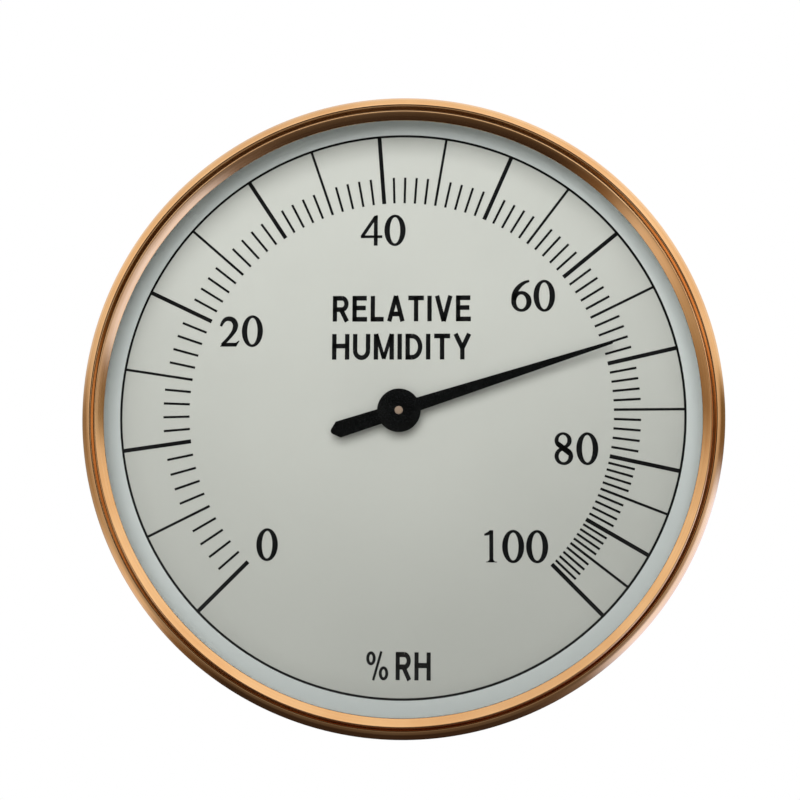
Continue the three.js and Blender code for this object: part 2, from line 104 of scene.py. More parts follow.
def lattice(rows: int, columns: int, wrap_rows: bool, wrap_columns: bool) -> Indices:
    """List the four-cornered faces of a grid of points, numbered row by row.

    Face (i, j) joins the points (i, j), (i + 1, j), (i + 1, j + 1) and (i, j + 1), and a wrapped
    direction joins its last line back to its first.

    Args:
        rows: Number of rows of points.
        columns: Number of points in a row.
        wrap_rows: Whether the last row joins the first.
        wrap_columns: Whether the last column joins the first.

    Returns:
        One face of four point numbers per row.
    """
    i, j = np.meshgrid(
        np.arange(rows if wrap_rows else rows - 1),
        np.arange(columns if wrap_columns else columns - 1),
        indexing="ij",
    )
    i, j = i.ravel(), j.ravel()
    i_next, j_next = (i + 1) % rows, (j + 1) % columns
    corners = (i * columns + j, i_next * columns + j, i_next * columns + j_next, i * columns + j_next)
    return np.column_stack(corners)


@dataclass
class Surface:
    """Drawing points and four-cornered faces, gathered until they become one mesh."""

    name: str
    points: list[Array] = field(default_factory=list)
    faces: list[Indices] = field(default_factory=list)
    count: int = 0

    def add(self, points: Array, faces: Indices) -> None:
        """Add a patch.

        Args:
            points: The patch's points.
            faces: Its faces, which number its own points from 0.
        """
        self.points.append(points)
        self.faces.append(faces + self.count)
        self.count += len(points)

    def piece(self, smooth_below: float = 35.0) -> Thing:
        """Make the mesh object, with doubled points merged and faces turned outwards.

        Args:
            smooth_below: Edges that bend less than this many degrees are shaded smooth.

        Returns:
            The object, which lies at the origin with its place in its mesh.
        """
        points = to_row(np.vstack(self.points))
        faces = np.vstack(self.faces)
        mesh = bpy.data.meshes.new(self.name)
        mesh.vertices.add(len(points))
        mesh.vertices.foreach_set("co", points.ravel())
        mesh.loops.add(faces.size)
        mesh.loops.foreach_set("vertex_index", faces.ravel())
        mesh.polygons.add(len(faces))
        mesh.polygons.foreach_set("loop_start", np.arange(len(faces)) * 4)
        mesh.update(calc_edges=True)
        tidy(mesh, smooth_below)
        return link(self.name, mesh)


def link(name: str, data: bpy.types.ID) -> Thing:
    """Put a new object into the scene.

    Args:
        name: The object's name.
        data: Its mesh, camera or light.

    Returns:
        The object.
    """
    thing = bpy.data.objects.new(name, data)
    bpy.context.scene.collection.objects.link(thing)
    return thing


def shade(mesh: bpy.types.Mesh, smooth_below: float) -> None:
    """Shade a mesh smooth, except across edges that bend more than some degrees."""
    mesh.polygons.foreach_set("use_smooth", np.ones(len(mesh.polygons), dtype=bool))
    mesh.set_sharp_from_angle(angle=math.radians(smooth_below))


def soften(piece: Thing, width: float, sharp_from: float) -> None:
    """Bevel a piece's sharp edges.

    Args:
        piece: The piece.
        width: The bevel's width, in mm.
        sharp_from: Edges that bend more than this many degrees are bevelled.
    """
    bevel = piece.modifiers.new("soft_edges", "BEVEL")
    bevel.width = width * MM
    bevel.segments = 2
    bevel.limit_method = "ANGLE"
    bevel.angle_limit = math.radians(sharp_from)


def tidy(mesh: bpy.types.Mesh, smooth_below: float) -> None:
    """Merge doubled points, turn the faces outwards and shade shallow edges smooth.

    Args:
        mesh: The mesh to tidy.
        smooth_below: Edges that bend less than this many degrees are shaded smooth.
    """
    work = bmesh.new()
    work.from_mesh(mesh)
    bmesh.ops.remove_doubles(work, verts=work.verts, dist=MERGE)
    bmesh.ops.recalc_face_normals(work, faces=work.faces)
    work.to_mesh(mesh)
    work.free()
    shade(mesh, smooth_below)
    mesh.update()


@dataclass(frozen=True)
class Corner:
    """A corner of a profile or outline, rounded to a radius in mm."""

    x: float
    y: float
    radius: float = 0.0

    @property
    def place(self) -> Array:
        """The corner's place."""
        return np.array([self.x, self.y])


def rounded(corners: Sequence[Corner], steps: int = 6) -> Array:
    """Round the corners of a closed polygon with arcs.

    The arc at a corner starts r / tan(half the corner's angle) before it and turns about a centre
    on the corner's bisector, r / sin(half the angle) away. It takes at most `share` of either
    side, and a corner that is nearly straight stays as it is.

    Args:
        corners: The polygon's corners, in order.
        steps: Steps in each arc.

    Returns:
        The outline's points.
    """
    share, straight, least = 0.49, 1.57, 1e-4
    outline: list[Array] = []
    for i, corner in enumerate(corners):
        here = corner.place
        before = corners[i - 1].place - here
        after = corners[(i + 1) % len(corners)].place - here
        room = share * min(np.linalg.norm(before), np.linalg.norm(after))
        before, after = before / np.linalg.norm(before), after / np.linalg.norm(after)
        half = math.acos(float(np.clip(before @ after, -1, 1))) / 2
        reach = min(corner.radius / math.tan(half), room) if half < straight else 0.0
        if reach < least:
            outline.append(here[None, :])
            continue
        radius = reach * math.tan(half)
        bisector = (before + after) / np.linalg.norm(before + after)
        centre = here + bisector * radius / math.sin(half)
        start, end = here + before * reach - centre, here + after * reach - centre
        first = math.atan2(start[1], start[0])
        turn = (math.atan2(end[1], end[0]) - first + math.pi) % (2 * math.pi) - math.pi
        angles = first + turn * np.linspace(0, 1, steps + 1)
        outline.append(centre + radius * np.column_stack((np.cos(angles), np.sin(angles))))
    return np.vstack(outline)


def turned(name: str, profile: Array, steps: int, axis: Sequence[float] = (0.0, 0.0)) -> Surface:
    """Turn a profile of (radius, h) points about an axis that stands out of the wall.

    The point at angle a is axis + (radius cos a, radius sin a, h). A profile that starts on the
    axis also ends on it, and any other closes on itself.

    Args:
        name: The name of the surface.
        profile: The profile's points.
        steps: Steps round the axis.
        axis: The axis's place, (x, y).

    Returns:
        The surface.
    """
    angles = 2 * np.pi * np.arange(steps) / steps
    radius, height = profile[:, 0], profile[:, 1]
    x = axis[0] + np.outer(np.cos(angles), radius)
    y = axis[1] + np.outer(np.sin(angles), radius)
    h = np.broadcast_to(height, x.shape)
    surface = Surface(name)
    closes = profile[0, 0] > 0
    faces = lattice(steps, len(profile), wrap_rows=True, wrap_columns=closes)
    surface.add(np.column_stack((x.ravel(), y.ravel(), h.ravel())), faces)
    return surface


def strip(surface: Surface, left: Array, right: Array, low: float, high: float, closed: bool) -> None:
    """Add a flat band with thickness between two lines of (x, y) points.

    Its section at each station is the rectangle from left to right and from low to high.

    Args:
        surface: The surface to add to.
        left: The points of one edge.
        right: The points of the other edge, as many as in left.
        low: Height of the underside.
        high: Height of the top.
        closed: Whether the band joins its own start, as a ring does.
    """
    stations = len(left)
    low_h, high_h = np.full((stations, 1), low), np.full((stations, 1), high)
    section = np.stack(
        (
            np.hstack((left, low_h)),
            np.hstack((right, low_h)),
            np.hstack((right, high_h)),
            np.hstack((left, high_h)),
        ),
        axis=1,
    )
    faces = lattice(stations, 4, wrap_rows=closed, wrap_columns=True)
    if not closed:
        first = np.arange(4)
        faces = np.vstack((faces, first, 4 * stations - 1 - first))
    surface.add(section.reshape(-1, 3), faces)


def placed(
    bands: Sequence[Band],
    middle: Sequence[float] = (0.0, 0.0),
    scale: float | Pair = 1.0,
    place: Pair = (0.0, 0.0),
) -> list[Band]:
    """Scale bands about a point and carry the point to its place.

    Args:
        bands: The bands.
        middle: The point.
        scale: One factor, or one across and one up.
        place: Where the point goes.

    Returns:
        The bands in their place.
    """
    return [
        ((left - middle) * scale + place, (right - middle) * scale + place, closed)
        for left, right, closed in bands
    ]


def smooth_line(knots: Array, steps: int) -> Array:
    """Carry a smooth curve through every knot, by Catmull-Rom's cubic between neighbours.

    Args:
        knots: The knots, with any number of columns, which are all carried smoothly.
        steps: Steps between two knots.

    Returns:
        The curve's points.
    """
    ends = np.vstack((2 * knots[0] - knots[1], knots, 2 * knots[-1] - knots[-2]))
    t = (np.arange(steps) / steps)[:, None]
    spans = [
        0.5
        * (
            2 * b
            + (c - a) * t
            + (2 * a - 5 * b + 4 * c - d) * t**2
            + (3 * b - a - 3 * c + d) * t**3
        )
        for a, b, c, d in zip(ends[:-3], ends[1:-2], ends[2:-1], ends[3:])
    ]
    return np.vstack((*spans, knots[-1:]))


# ---------------------------------------------------------------- finishes


class Tree:
    """A node tree, put together one node at a time."""

    def __init__(self, tree: bpy.types.NodeTree) -> None:
        """Empty a tree, to be filled."""
        self.tree = tree
        self.tree.nodes.clear()

    def node(self, kind: str, **settings: object) -> bpy.types.Node:
        """Add a node.

        Args:
            kind: The node's type.
            settings: Values for its properties.

        Returns:
            The node.
        """
        made = self.tree.nodes.new(kind)
        for key, value in settings.items():
            setattr(made, key, value)
        return made

    def feed(self, target: Socket, value: Socket | float | Colour) -> None:
        """Link a socket to an input, or set the input to a number or a colour.

        Args:
            target: The input.
            value: What it gets.
        """
        if isinstance(value, bpy.types.NodeSocket):
            self.tree.links.new(value, target)
        elif isinstance(value, tuple) and len(target.default_value) == 4:
            target.default_value = (*value, 1.0)
        else:
            target.default_value = value

    def math(self, operation: str, first: Socket | float, second: Socket | float = 0.0) -> Socket:
        """Work out one sum.

        Args:
            operation: The Math node's operation.
            first: A socket or a number.
            second: A socket or a number.

        Returns:
            The result's socket.
        """
        made = self.node("ShaderNodeMath", operation=operation)
        self.feed(made.inputs[0], first)
        self.feed(made.inputs[1], second)
        return made.outputs[0]

    def parts(self, vector: Socket) -> dict[str, Socket]:
        """Split a vector.

        Args:
            vector: The vector.

        Returns:
            Its X, Y and Z sockets, by name.
        """
        made = self.node("ShaderNodeSeparateXYZ")
        self.feed(made.inputs[0], vector)
        return {key: made.outputs[key] for key in "XYZ"}

    def spread(
        self,
        value: Socket,
        source: Pair,
        target: Pair = (0.0, 1.0),
        curve: str = "LINEAR",
    ) -> Socket:
        """Carry a value from one range to another, and hold it there.

        Args:
            value: The value.
            source: The range that it has.
            target: The range that it gets.
            curve: The Map Range node's interpolation.

        Returns:
            The result's socket.
        """
        made = self.node("ShaderNodeMapRange", interpolation_type=curve)
        self.feed(made.inputs["Value"], value)
        for key, number in zip(("From Min", "From Max", "To Min", "To Max"), (*source, *target)):
            made.inputs[key].default_value = number
        return made.outputs[0]

    def blend(self, factor: Socket, first: Socket | Colour, second: Socket | Colour) -> Socket:
        """Mix two colours.

        Args:
            factor: 0 for the first colour, 1 for the second.
            first: A socket, or a linear red, green and blue.
            second: A socket, or a linear red, green and blue.

        Returns:
            The colour's socket.
        """
        made = self.node("ShaderNodeMix", data_type="RGBA")
        self.feed(made.inputs["Factor"], factor)
        self.feed(made.inputs["A"], first)
        self.feed(made.inputs["B"], second)
        return made.outputs["Result"]


class Recipe(Tree):
    """A material's node tree, which ends in a Principled shader."""

    def __init__(self, name: str) -> None:
        """Start a material.

        Args:
            name: The material's name.
        """
        self.material = bpy.data.materials.new(name)
        self.material.use_nodes = True
        super().__init__(self.material.node_tree)
        self.output = self.node("ShaderNodeOutputMaterial")
        self.shader = self.node("ShaderNodeBsdfPrincipled")
        self.feed(self.output.inputs["Surface"], self.shader.outputs["BSDF"])
        self.place = self.node("ShaderNodeTexCoord").outputs["Object"]

    def set(self, **values: Socket | float | Colour) -> None:
        """Give inputs of the shader their values, with _ for a space in an input's name."""
        for key, value in values.items():
            self.feed(self.shader.inputs[key.replace("_", " ")], value)

    def noise(self, scale: float, detail: float = 3.0, vector: Socket | None = None) -> Socket:
        """Give smooth noise from 0 to 1.

        Args:
            scale: Its scale, per metre.
            detail: How many finer layers it has.
            vector: Where it is read, or None for the place on the object.

        Returns:
            The noise's socket.
        """
        made = self.node("ShaderNodeTexNoise")
        made.inputs["Scale"].default_value = scale
        made.inputs["Detail"].default_value = detail
        self.feed(made.inputs["Vector"], self.place if vector is None else vector)
        return made.outputs["Fac"]

    def between(self, noise: Socket, low: float = 0.0, high: float = 1.0) -> Socket:
        """Spread noise, which is mostly from 0.3 to 0.7, over the range from low to high."""
        return self.spread(noise, (0.3, 0.7), (low, high))

    def bump(self, height: Socket, distance: float) -> None:
        """Raise the surface by a height map.

        Args:
            height: The height, from 0 to 1.
            distance: What a height of 1 raises the surface by, in metres.
        """
        made = self.node("ShaderNodeBump")
        made.inputs["Distance"].default_value = distance
        made.inputs["Strength"].default_value = 1.0
        self.feed(made.inputs["Height"], height)
        self.set(Normal=made.outputs["Normal"])

    def radius(self) -> Socket:
        """Give the distance from the dial's axis, in metres.

        Returns:
            The distance's socket.
        """
        parts = self.parts(self.place)
        squares = [self.math("MULTIPLY", parts[key], parts[key]) for key in "XZ"]
        return self.math("SQRT", self.math("ADD", *squares))

    def ring_lines(self, scale: float) -> Socket:
        """Give fine lines that run round the dial's axis, as turning leaves them.

        The noise is read at (radius, depth), so it doesn't change round the axis.

        Args:
            scale: Lines per metre.

        Returns:
            The noise's socket.
        """
        place = self.node("ShaderNodeCombineXYZ")
        self.feed(place.inputs["X"], self.radius())
        self.feed(place.inputs["Y"], self.parts(self.place)["Y"])
        return self.noise(scale, 4.0, place.outputs[0])


@dataclass(frozen=True)
class Copper:
    """Lacquered copper-coloured metal, brushed round the ring."""

    bright: Colour = (0.93, 0.56, 0.28)
    deep: Colour = (0.72, 0.35, 0.13)
    roughness: Pair = (0.12, 0.2)
    brushing: float = 9000.0  # lines per metre
    cloud: float = 90.0  # scale of the slow change of tone, per metre
    brushing_share: float = 0.45  # of the tone, and the cloud has the rest
    depth: float = 0.000006
    lacquer: Pair = (0.35, 0.08)  # weight and roughness

    def material(self) -> Material:
        """Build the material.

        Returns:
            The material.
        """
        mix = Recipe("copper_brushed")
        lines = mix.ring_lines(self.brushing)
        cloud = mix.math("MULTIPLY", mix.noise(self.cloud, 4.0), 1 - self.brushing_share)
        tone = mix.math("ADD", mix.math("MULTIPLY", lines, self.brushing_share), cloud)
        mix.set(
            Base_Color=mix.blend(mix.between(tone), self.deep, self.bright),
            Roughness=mix.between(lines, *self.roughness),
            Metallic=1.0,
            Coat_Weight=self.lacquer[0],
            Coat_Roughness=self.lacquer[1],
        )
        mix.bump(lines, self.depth)
        return mix.material


@dataclass(frozen=True)
class DialPaint:
    """Silver-grey satin paint with a faint mottle; the margin is painted paler and bluer, as painted light
    that lifts it out of the bezel's shade.
    """

    light: Colour = (0.735, 0.745, 0.705)
    dark: Colour = (0.69, 0.70, 0.662)
    # painted light: the margin colour is paler and bluer than the paint, standing in for light that the
    # bezel's shade takes from the margin
    margin: Colour = (0.90, 0.95, 0.95)
    margin_radius: float = 0.0445  # in metres, just outside the printed circle
    mottle: float = 28.0
    grain: float = 9000.0
    roughness: Pair = (0.42, 0.55)
    depth: float = 0.000004

    def material(self) -> Material:
        """Build the material.

        Returns:
            The material.
        """
        mix = Recipe("dial_paint_and_lit_margin")
        paint = mix.blend(mix.between(mix.noise(self.mottle, 2.0)), self.dark, self.light)
        # painted light: outside the printed circle the paler, bluer margin colour replaces the paint
        lit_margin_mask = mix.math("GREATER_THAN", mix.radius(), self.margin_radius)
        grain = mix.noise(self.grain, 2.0)
        mix.set(
            Base_Color=mix.blend(lit_margin_mask, paint, self.margin),
            Roughness=mix.between(grain, *self.roughness),
            Metallic=0.05,
        )
        mix.bump(grain, self.depth)
        return mix.material


@dataclass(frozen=True)
class Coat:
    """A plain metal, paint, ink, plastic or rubber: two close tones, a roughness and a grain."""

    name: str
    light: Colour
    dark: Colour
    roughness: Pair
    grain: float  # scale of the fine grain, per metre; the change of tone is 20 times coarser
    depth: float  # of the grain, in metres
    metallic: float = 0.0
    specular: float = 0.5

    def material(self) -> Material:
        """Build the material.

        Returns:
            The material.
        """
        mix = Recipe(self.name)
        fine = mix.noise(self.grain)
        mix.set(
            Base_Color=mix.blend(mix.between(mix.noise(self.grain / 20)), self.dark, self.light),
            Roughness=mix.between(fine, *self.roughness),
            Metallic=self.metallic,
            Specular_IOR_Level=self.specular,
        )
        mix.bump(fine, self.depth)
        return mix.material


@dataclass(frozen=True)
class ClearGlass:
    """Flat clear glass, which passes the light of the lamps straight through."""

    tint: Colour = (0.985, 0.988, 0.983)
    roughness: float = 0.02
    index: float = 1.5

    def material(self) -> Material:
        """Build the material: a thin pane is clear and mirrors more at a low angle.

        Returns:
            The material.
        """
        mix = Recipe("clear_glass")
        mix.tree.nodes.remove(mix.shader)
        clear = mix.node("ShaderNodeBsdfTransparent")
        mix.feed(clear.inputs["Color"], self.tint)
        gloss = mix.node("ShaderNodeBsdfGlossy")
        gloss.inputs["Roughness"].default_value = self.roughness
        share = mix.node("ShaderNodeFresnel")
        share.inputs["IOR"].default_value = self.index
        both = mix.node("ShaderNodeMixShader")
        for target, source in zip(both.inputs, (share, clear, gloss)):
            mix.feed(target, source.outputs[0])
        mix.feed(mix.output.inputs["Surface"], both.outputs[0])
        return mix.material


METAL, PAINT = 1.0, 0.0  # how metallic each is
BRASS = Coat("movement_brass", (0.78, 0.56, 0.24), (0.62, 0.42, 0.16), (0.25, 0.42), 3000.0, 6e-6, METAL)
STEEL = Coat("turned_steel", (0.50, 0.50, 0.52), (0.36, 0.36, 0.38), (0.22, 0.4), 3000.0, 6e-6, METAL)
ZINC = Coat("zinc_plate", (0.53, 0.54, 0.55), (0.47, 0.48, 0.50), (0.36, 0.46), 5000.0, 6e-6, METAL)
PEG_BRASS = Coat("arbor_brass", (0.56, 0.42, 0.32), (0.42, 0.30, 0.22), (0.35, 0.5), 6000.0, 4e-6, 0.2)
BLACK = Coat(
    "black_enamel", (0.004, 0.0045, 0.005), (0.002, 0.0022, 0.0025), (0.22, 0.3), 5000.0, 5e-6, PAINT, 0.18
)
INK = Coat("dial_ink", (0.007, 0.007, 0.008), (0.003, 0.003, 0.004), (0.4, 0.55), 7000.0, 3e-6, PAINT, 0.2)
WHITE = Coat("white_plastic", (0.72, 0.75, 0.74), (0.64, 0.67, 0.66), (0.45, 0.6), 2500.0, 1e-5)
RUBBER = Coat("black_rubber", (0.02, 0.02, 0.02), (0.011, 0.011, 0.011), (0.7, 0.85), 4000.0, 2e-5)
HAIR = Coat("hair_fibre", (0.16, 0.10, 0.06), (0.07, 0.045, 0.03), (0.5, 0.7), 6000.0, 3e-5)


def dress(piece: Thing, finish: Material) -> Thing:
    """Give a piece one finish all over.

    Args:
        piece: The piece.
        finish: Its material.

    Returns:
        The piece.
    """
    piece.data.materials.clear()
    piece.data.materials.append(finish)
    return piece


def settle(piece: Thing, body: Body, slot: str, *nodes: str) -> None:
    """Tie a finished piece to its body, and hide the CAD nodes it stands for.

    Args:
        piece: The finished piece.
        body: The body it moves with.
        slot: The record's material slot; not used.
        nodes: The CAD nodes that it replaces, if any.
    """
    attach(piece, body.value)
    if nodes:
        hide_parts(*nodes)
    LOG.info("%s: %d faces", piece.name, len(piece.data.polygons))


# ---------------------------------------------------------------- bezel and glass


@dataclass
class Bezel:
    """The rolled ring that holds the glass: a lip, a ridge, a groove and an outer bead."""

    steps: int = 256
    lip_radius: float = 45.65
    ridge_radius: float = 46.85
    groove_radius: float = 47.5
    bead_radius: float = 47.95
    crown_radius: float = 48.9  # where the bead turns down
    seat_radius: float = 47.25
    hem_radius: float = 46.8  # of the edge folded in at the back
    hem: float = 0.6
    lip_rise: float = 1.4  # from the back of the lip to the front of the ring
    bead_drop: float = 0.35  # from the back of the lip to the bead
    skirt_inset: float = 0.3
    wall_inset: float = 0.8
    bead_seating: Pair = (0.1, -0.2)  # it hangs a little low on the case,
    front_seating: Pair = (0.2, -0.55)  # and was rolled a little out of true

    def profile(self) -> Array:
        """Draw the section, anticlockwise.

        Returns:
            The section's (radius, h) points.
        """
        low, high = extent("bezel_ring")
        outer, back, front = high[0], low[2], high[2]
        lip_back = front - self.lip_rise
        bead_top = lip_back - self.bead_drop
        inside, skirt = outer - self.wall_inset, outer - self.skirt_inset
        corners = [
            Corner(self.lip_radius, lip_back, 0.1),
            Corner(self.seat_radius - 0.3, lip_back, 0.1),
            Corner(self.seat_radius, lip_back - 0.4, 0.1),
            Corner(self.seat_radius, lip_back - 1.6, 0.2),
            Corner(inside, lip_back - 2.8, 0.4),
            Corner(inside, back + self.hem, 0.1),
            Corner(self.hem_radius, back + self.hem, 0.2),
            Corner(self.hem_radius, back, 0.2),
            Corner(skirt, back, 0.5),
            Corner(skirt, lip_back - 2.6, 0.3),
            Corner(outer, lip_back - 2.4, 0.3),
            Corner(outer, bead_top - 1.1, 0.35),
            Corner(self.crown_radius, bead_top - 0.33, 1.3),
            Corner(self.bead_radius, bead_top, 0.3),
            Corner(self.groove_radius, bead_top - 0.7, 0.12),
            Corner(self.ridge_radius, front - 0.18, 0.15),
            Corner(self.lip_radius + 0.02, lip_back + 0.22, 0.12),
        ]
        return rounded(corners)

    def seated(self, points: Array) -> Array:
        """Shift the turned ring to where it sits: the bead and skirt, and the front inside the groove.

        The groove's wall takes up the difference, smoothly from the groove to the bead.

        Args:
            points: The ring's points about the dial's axis, (x, y, h).

        Returns:
            The shifted points.
        """
        behind = extent("glass_lens")[0][2] - 0.4
        radius = np.hypot(points[:, 0], points[:, 1])
        share = np.clip((radius - self.groove_radius) / (self.bead_radius - self.groove_radius), 0, 1)
        share = np.where(points[:, 2] < behind, 1.0, share)[:, None]
        shift = (1 - share) * np.array(self.front_seating) + share * np.array(self.bead_seating)
        return points + np.column_stack((shift, np.zeros(len(points))))

    def build(self, finish: Material) -> None:
        """Turn the ring and dress it.

        Args:
            finish: Its material.
        """
        surface = turned("bezel", self.profile(), self.steps)
        surface.points[0] = self.seated(surface.points[0])
        ring = dress(surface.piece(), finish)
        settle(ring, Body.CASE, "bezel", "bezel_ring")


@dataclass
class Glazing:
    """The glass, its gasket and the white ring that holds it off the dial."""

    steps: int = 192
    edge: float = 0.2  # radius of the pane's edges
    spacer_wall: float = 47.98  # inner radius of the white ring
    spacer_sheet: float = 0.7

    def build(self, glass: Material, rubber: Material, white: Material) -> None:
        """Build the three pieces.

        Args:
            glass: Finish of the pane.
            rubber: Finish of the gasket.
            white: Finish of the spacer ring.
        """
        low, high = extent("glass_lens")
        rim = [Corner(high[0], low[2], self.edge), Corner(high[0], high[2], self.edge)]
        corners = [Corner(0.0, low[2]), *rim, Corner(0.0, high[2])]
        axis = Bezel.front_seating
        pane = dress(turned("glass", rounded(corners), self.steps, axis).piece(), glass)
        settle(pane, Body.CASE, "glass", "glass_lens")

        low, high = extent("lens_gasket")
        inner, outer = Bezel.lip_radius + 0.3, Bezel.seat_radius - 0.35
        corners = [
            Corner(inner, low[2], 0.1),
            Corner(outer, low[2], 0.1),
            Corner(outer, high[2], 0.1),
            Corner(inner, high[2], 0.1),
        ]
        seal = dress(turned("gasket", rounded(corners, 3), self.steps, axis).piece(), rubber)
        settle(seal, Body.CASE, "gasket", "lens_gasket")

        low, high = extent("spacer_ring")
        lip, step = Bezel.lip_radius + 1.0, high[2] - self.spacer_sheet
        corners = [
            Corner(self.spacer_wall, low[2], 0.1),
            Corner(high[0], low[2], 0.1),
            Corner(high[0], high[2], 0.1),
            Corner(lip, high[2], 0.2),
            Corner(lip, step, 0.2),
            Corner(self.spacer_wall, step, 0.3),
        ]
        spacer = dress(turned("spacer", rounded(corners, 4), self.steps).piece(), white)
        settle(spacer, Body.CASE, "spacer", "spacer_ring")


# ---------------------------------------------------------------- dial and its printing


@dataclass
class Dial:
    """The dial plate, its graduation and its figures."""

    steps: int = 192
    sheet: float = 0.8
    hole: float = 1.6
    flat_radius: float = 44.6
    ink: float = 0.02  # how far the ink stands up
    circle_radius: float = 44.4
    inner_radius: float = 33.4
    minor_radius: float = 37.6
    start: float = 225.0  # angle of 0, anticlockwise from 3 o'clock
    decades: tuple[float, ...] = (36.75, 33.75, 31.0, 29.0, 28.0, 27.0, 26.5, 25.0, 18.0, 15.0)
    widths: tuple[float, float, float] = (0.64, 0.40, 0.37)  # tens, fives and ones
    circle_width: float = 0.37

    @property
    def face(self) -> float:
        """Height of the flat of the dial, in mm."""
        return extent("dial_plate")[0][2] + self.sheet

    def build_plate(self, paint: Material) -> None:
        """Build the plate: flat as far as the printed circle, then a margin that leans forward.

        Args:
            paint: Its material.
        """
        low, high = extent("dial_plate")
        rise = high[2] - self.face
        corners = [
            Corner(self.hole, low[2], 0.05),
            Corner(self.flat_radius, low[2], 0.5),
            Corner(high[0], low[2] + rise, 0.1),
            Corner(high[0], high[2], 0.1),
            Corner(self.flat_radius, self.face, 0.3),
            Corner(self.hole, self.face, 0.05),
        ]
        plate = dress(turned("dial", rounded(corners, 4), self.steps).piece(20.0), paint)
        settle(plate, Body.CASE, "dial", "dial_plate")

    def angle(self, percent: float) -> float:
        """Give a reading's angle, anticlockwise from 3 o'clock: every ten per cent is divided evenly."""
        ends = self.start - np.concatenate(([0.0], np.cumsum(self.decades)))
        return math.radians(float(np.interp(percent, np.arange(0, 101, 10), ends)))

    def stamp(self, name: str, bands: Sequence[Band], ink: Material) -> None:
        """Print bands of ink as one piece.

        Args:
            name: The piece's name.
            bands: The bands.
            ink: Their material.
        """
        surface = Surface(name)
        for left, right, closed in bands:
            strip(surface, left, right, self.face, self.face + self.ink, closed)
        settle(dress(surface.piece(), ink), Body.CASE, "pointer")

    def build_scale(self, ink: Material) -> None:
        """Print the lines, one for each per cent, and the circle round them.

        Args:
            ink: Their material.
        """
        lines: list[Band] = []
        for percent in range(101):
            kind = 0 if percent % 10 == 0 else 1 if percent % 5 == 0 else 2
            outer = self.minor_radius if kind == 2 else self.circle_radius
            angle = self.angle(percent)
            along = np.array([math.cos(angle), math.sin(angle)])
            across = np.array([-along[1], along[0]]) * self.widths[kind] / 2
            line = np.array([along * self.inner_radius, along * outer])
            lines.append((line + across, line - across, False))
        self.stamp("scale_lines", lines, ink)

        low, high = self.face, self.face + self.ink
        half = self.circle_width / 2
        inner, outer = self.circle_radius - half, self.circle_radius + half
        section = np.array([[inner, low], [outer, low], [outer, high], [inner, high]])
        circle = dress(turned("scale_circle", section, self.steps).piece(), ink)
        settle(circle, Body.CASE, "pointer")


@dataclass(frozen=True)
class Stroke:
    """One pen stroke of a figure: knots of (x, y, width) on a figure one unit high."""

    knots: tuple[tuple[float, float, float], ...]
    straight: bool = False


@dataclass(frozen=True)
class Bowl:
    """A closed bowl of a figure: an ellipse with an elliptical counter."""

    centre: Pair
    outer: Pair
    inner: Pair
    shift: Pair = (0.0, 0.0)


@dataclass(frozen=True)
class Wedge:
    """A straight-sided filled piece of a figure, between two lines of points."""

    left: tuple[Pair, ...]
    right: tuple[Pair, ...]


@dataclass(frozen=True)
class Glyph:
    """A figure: its parts and where its left edge stands in its cell."""

    parts: tuple[Stroke | Bowl | Wedge, ...]
    bearing: float = 0.04


GLYPHS: dict[str, Glyph] = {
    "0": Glyph((Bowl((0.337, 0.5), (0.337, 0.51), (0.178, 0.442)),), 0.035),
    "1": Glyph(
        (
            Wedge(((0.155, 0.0), (0.155, 1.0)), ((0.28, 0.0), (0.28, 1.0))),
            Stroke(((0.0, 0.855, 0.035), (0.10, 0.885, 0.075), (0.22, 0.95, 0.10)), True),
            Wedge(((0.055, 0.0), (0.055, 0.028)), ((0.39, 0.0), (0.39, 0.028))),
            Wedge(((0.105, 0.028), (0.155, 0.085)), ((0.335, 0.028), (0.28, 0.085))),
        ),
        0.22,
    ),
    "2": Glyph(
        (
            Stroke(
                (
                    (0.02, 0.665, 0.055), (0.085, 0.80, 0.085), (0.185, 0.893, 0.115),
                    (0.315, 0.905, 0.13), (0.43, 0.845, 0.145), (0.495, 0.715, 0.15),
                    (0.475, 0.565, 0.135), (0.395, 0.42, 0.105), (0.245, 0.235, 0.09),
                    (0.07, 0.055, 0.085),
                )
            ),
            Wedge(((0.0, 0.0), (0.10, 0.125)), ((0.53, 0.0), (0.50, 0.125))),
            Wedge(((0.48, 0.0), (0.53, 0.0)), ((0.61, 0.195), (0.64, 0.185))),
            Wedge(((0.48, 0.0), (0.61, 0.195)), ((0.40, 0.125), (0.51, 0.125))),
        ),
        0.07,
    ),
    "4": Glyph(
        (
            Wedge(((0.425, 0.0), (0.425, 0.93), (0.49, 1.0)), ((0.55, 0.0), (0.55, 0.93), (0.55, 1.0))),
            Stroke(((0.035, 0.285, 0.085), (0.49, 0.965, 0.085)), True),
            Wedge(((0.0, 0.25), (0.03, 0.34)), ((0.70, 0.25), (0.70, 0.34))),
        ),
        0.01,
    ),
    "6": Glyph(
        (
            Bowl((0.322, 0.322), (0.318, 0.33), (0.172, 0.245), (-0.005, -0.01)),
            Stroke(
                (
                    (0.078, 0.36, 0.14), (0.098, 0.53, 0.145), (0.165, 0.69, 0.135), (0.28, 0.83, 0.11),
                    (0.42, 0.93, 0.08), (0.575, 0.982, 0.05),
                )
            ),
        ),
        0.07,
    ),
    "8": Glyph(
        (
            Bowl((0.265, 0.755), (0.262, 0.255), (0.148, 0.182), (-0.005, 0.01)),
            Bowl((0.285, 0.265), (0.285, 0.275), (0.163, 0.192), (-0.008, -0.008)),
            Stroke(((0.09, 0.66, 0.13), (0.27, 0.515, 0.15), (0.47, 0.36, 0.15))),
        ),
        0.10,
    ),
}


